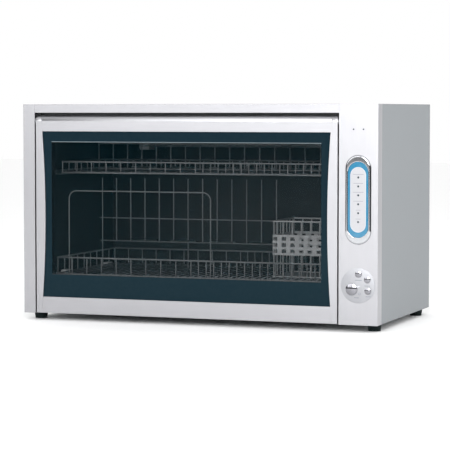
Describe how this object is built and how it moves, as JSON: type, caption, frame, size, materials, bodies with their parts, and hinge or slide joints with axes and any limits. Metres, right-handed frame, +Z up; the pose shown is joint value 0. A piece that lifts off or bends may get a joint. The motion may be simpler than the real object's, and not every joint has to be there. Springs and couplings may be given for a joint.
{
  "type": "dish sterilizer cabinet",
  "caption": "Table-top dish drying and sterilizing cabinet with a lift-up tinted glass door, sliding wire racks, a control column with round buttons, and a warm air fan.",
  "frame": {"origin": "on the table, under the middle of the overall box", "axes": "+X to the right, -Y to the front (the door), +Z up"},
  "size_m": [0.74, 0.3984, 0.434],
  "materials": {
    "stainless_trim": "fine vertical brushing, satin",
    "side_paint": "smooth grey powder coat",
    "galvanised": "plain zinc grey",
    "tub_steel": "mill finish",
    "tub_enamel": "dark grey enamel",
    "lamp_glass": "clear quartz",
    "white_plastic": "fine grain",
    "rack_wire": "bright plated wire",
    "black_plastic": "fine grain",
    "circuit_board": "solder mask",
    "chrome": "polished",
    "blue_ring": "translucent blue",
    "white_insert": "satin white",
    "lamp_lens": "smoked lens",
    "satin_disc": "spun satin",
    "rubber": "matt",
    "seal_rubber": "matt",
    "screw_steel": "plated",
    "tinted_glass": "tinted, dark printed border"
  },
  "bodies": {
    "cabinet": {"air_grille": "tub_enamel", "base_pan": "galvanised", "board_standoffs": "white_plastic", "control_board": "circuit_board", "control_disc": "satin_disc", "control_fascia": "stainless_trim", "door_sill": "tub_steel", "fan_housing": "black_plastic", "fan_motor": "galvanised", "foot_screws": "screw_steel", "heater_block": "black_plastic", "hinge_brackets": "galvanised", "indicator_bezel": "chrome", "indicator_insert": "white_insert", "indicator_lamps": "lamp_lens", "indicator_ring": "blue_ring", "left_post": "stainless_trim", "left_side_panel": "side_paint", "lower_rack_runners": "tub_steel", "mains_inlet": "black_plastic", "power_supply": "black_plastic", "rear_panel": "galvanised", "rear_screws": "screw_steel", "right_side_panel": "side_paint", "rubber_feet": "rubber", "status_lenses": "lamp_lens", "tact_switches": "black_plastic", "top_panel": "side_paint", "top_rail": "stainless_trim", "tub_floor": "tub_enamel", "tub_left_wall": "tub_enamel", "tub_rear_wall": "tub_enamel", "tub_right_wall": "tub_enamel", "tub_roof": "tub_enamel", "upper_rack_runners": "tub_steel", "uv_lamp_guard": "rack_wire", "uv_lamp_holders": "white_plastic", "uv_lamp_tube": "lamp_glass"},
    "door": {"door_top_strip": "stainless_trim", "door_bottom_strip": "stainless_trim", "door_left_strip": "stainless_trim", "door_right_strip": "stainless_trim", "door_glass": "tinted_glass", "door_inner_frame": "black_plastic", "door_seal": "seal_rubber", "hinge_pins": "screw_steel"},
    "lower_rack": {"lower_rack_fences": "rack_wire", "lower_rack_floor": "rack_wire", "plate_dividers": "rack_wire", "cutlery_basket": "rack_wire", "rack_sliders": "white_plastic"},
    "upper_rack": {"upper_rack_fences": "rack_wire", "upper_rack_floor": "rack_wire"},
    "drip_tray": {"drip_tray": "tub_steel"},
    "fan_rotor": {"fan_rotor": "black_plastic"},
    "power_button": {"power_button": "chrome"},
    "option_button_1": {"option_button_1": "chrome"},
    "option_button_2": {"option_button_2": "chrome"},
    "option_button_3": {"option_button_3": "chrome"}
  },
  "joints": [
    {"name": "door_lift", "type": "hinge", "parent": "cabinet", "child": "door", "pos_m": [0, -0.18075, 0.4005], "axis": [-1, 0, 0], "range_deg": [0, 90]},
    {"name": "lower_rack_slide", "type": "slide", "parent": "cabinet", "child": "lower_rack", "axis": [0, -1, 0], "range_m": [0, 0.18]},
    {"name": "upper_rack_slide", "type": "slide", "parent": "cabinet", "child": "upper_rack", "axis": [0, -1, 0], "range_m": [0, 0.12]},
    {"name": "drip_tray_slide", "type": "slide", "parent": "cabinet", "child": "drip_tray", "axis": [0, -1, 0], "range_m": [0, 0.15]},
    {"name": "fan_spin", "type": "hinge", "parent": "cabinet", "child": "fan_rotor", "pos_m": [0.3018, 0.05225, 0.155], "axis": [1, 0, 0], "continuous": true},
    {"name": "power_button_press", "type": "slide", "parent": "cabinet", "child": "power_button", "axis": [0, 1, 0], "range_m": [0, 0.0015], "stiffness_N_per_m": 500, "springref_m": -0.001},
    {"name": "option_button_1_press", "type": "slide", "parent": "cabinet", "child": "option_button_1", "axis": [0, 1, 0], "range_m": [0, 0.001], "stiffness_N_per_m": 400, "springref_m": -0.001},
    {"name": "option_button_2_press", "type": "slide", "parent": "cabinet", "child": "option_button_2", "axis": [0, 1, 0], "range_m": [0, 0.001], "stiffness_N_per_m": 400, "springref_m": -0.001},
    {"name": "option_button_3_press", "type": "slide", "parent": "cabinet", "child": "option_button_3", "axis": [0, 1, 0], "range_m": [0, 0.001], "stiffness_N_per_m": 400, "springref_m": -0.001}
  ],
  "couplings": [
    {"joint": "lower_rack_slide", "follows": "door_lift", "m_per_rad": 0.1145},
    {"joint": "upper_rack_slide", "follows": "door_lift", "m_per_rad": 0.0763},
    {"joint": "drip_tray_slide", "follows": "door_lift", "m_per_rad": 0.0954}
  ]
}
